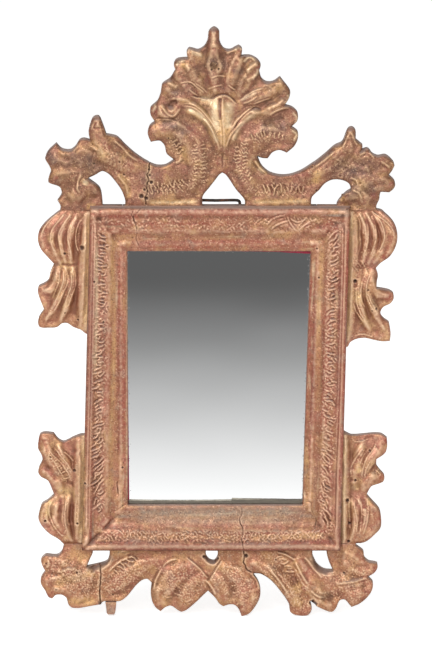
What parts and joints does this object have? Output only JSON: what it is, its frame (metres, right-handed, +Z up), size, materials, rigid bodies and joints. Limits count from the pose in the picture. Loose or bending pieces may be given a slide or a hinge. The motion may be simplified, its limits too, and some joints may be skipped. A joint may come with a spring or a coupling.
{
  "type": "giltwood wall mirror",
  "caption": "Upright wall mirror in a carved, pierced and gilt wood frame: moulded rails, shell crest, side ears and leaf apron, hung by an iron bail.",
  "frame": {"origin": "underside of the hanging bail's top bar, on the middle of its width, in the plane of the frame's back; a wall hook holds the mirror here", "axes": "+Z up, +X to the right as seen from the front, +Y towards the wall, so the carved front faces -Y"},
  "size_m": [0.3594, 0.0387, 0.5951],
  "materials": {
    "gilt_rail": "worn gold leaf over red bole, satin",
    "gilt_carving": "worn gold leaf over red bole, satin",
    "gilt_ear": "burnished gold leaf over red bole",
    "bare_wood": "unfinished",
    "backboard": "unfinished, aged",
    "dark_strip": "dark, matt",
    "crimson_lining": "matt",
    "silvered_plate": "polished",
    "old_iron": "forged, dark, lightly rusted"
  },
  "bodies": {
    "frame": {"top_rail": "gilt_rail", "bottom_rail": "gilt_rail", "left_stile": "gilt_rail", "right_stile": "gilt_rail", "crest_left_wing": "gilt_carving", "crest_centre": "gilt_carving", "crest_right_wing": "gilt_carving", "upper_left_ear": "gilt_ear", "upper_right_ear": "gilt_ear", "lower_left_ear": "gilt_ear", "lower_right_ear": "gilt_ear", "apron_left_leaf": "gilt_carving", "apron_centre": "gilt_carving", "apron_right": "gilt_carving", "corner_peg_top_left": "bare_wood", "corner_peg_top_right": "bare_wood", "corner_peg_bottom_right": "bare_wood", "corner_peg_bottom_left": "bare_wood", "crest_dowel_left_end": "bare_wood", "crest_dowel_left": "bare_wood", "crest_dowel_centre_left": "bare_wood", "crest_dowel_centre_right": "bare_wood", "crest_dowel_right_end": "bare_wood", "apron_dowel_1": "bare_wood", "apron_dowel_2": "bare_wood", "apron_dowel_3": "bare_wood", "apron_dowel_4": "bare_wood", "apron_dowel_5": "bare_wood", "apron_dowel_6": "bare_wood", "upper_left_ear_dowel_1": "bare_wood", "upper_left_ear_dowel_2": "bare_wood", "upper_right_ear_dowel_1": "bare_wood", "upper_right_ear_dowel_2": "bare_wood", "lower_left_ear_dowel_1": "bare_wood", "lower_left_ear_dowel_2": "bare_wood", "lower_right_ear_dowel_1": "bare_wood", "lower_right_ear_dowel_2": "bare_wood", "crest_joint_dowel_left": "bare_wood", "crest_joint_dowel_right": "bare_wood", "apron_joint_dowel": "bare_wood", "leaf_dowel": "bare_wood", "left_foot": "gilt_carving", "crest_plug": "gilt_carving", "red_lining": "crimson_lining", "mirror_plate": "silvered_plate", "backboard": "backboard", "packing_strip_left": "dark_strip", "packing_strip_right": "dark_strip", "brad_top_rail_1": "old_iron", "brad_top_rail_2": "old_iron", "brad_right_stile_1": "old_iron", "brad_right_stile_2": "old_iron", "brad_bottom_rail_1": "old_iron", "brad_bottom_rail_2": "old_iron", "brad_left_stile_1": "old_iron", "brad_left_stile_2": "old_iron", "staple_left": "old_iron", "staple_right": "old_iron"},
    "bail": {"hanging_bail": "old_iron"}
  },
  "joints": [
    {"name": "bail_swing", "type": "hinge", "parent": "frame", "child": "bail", "pos_m": [0, 0.0045, -0.0224], "axis": [-1, 0, 0], "range_deg": [0, 192]}
  ]
}
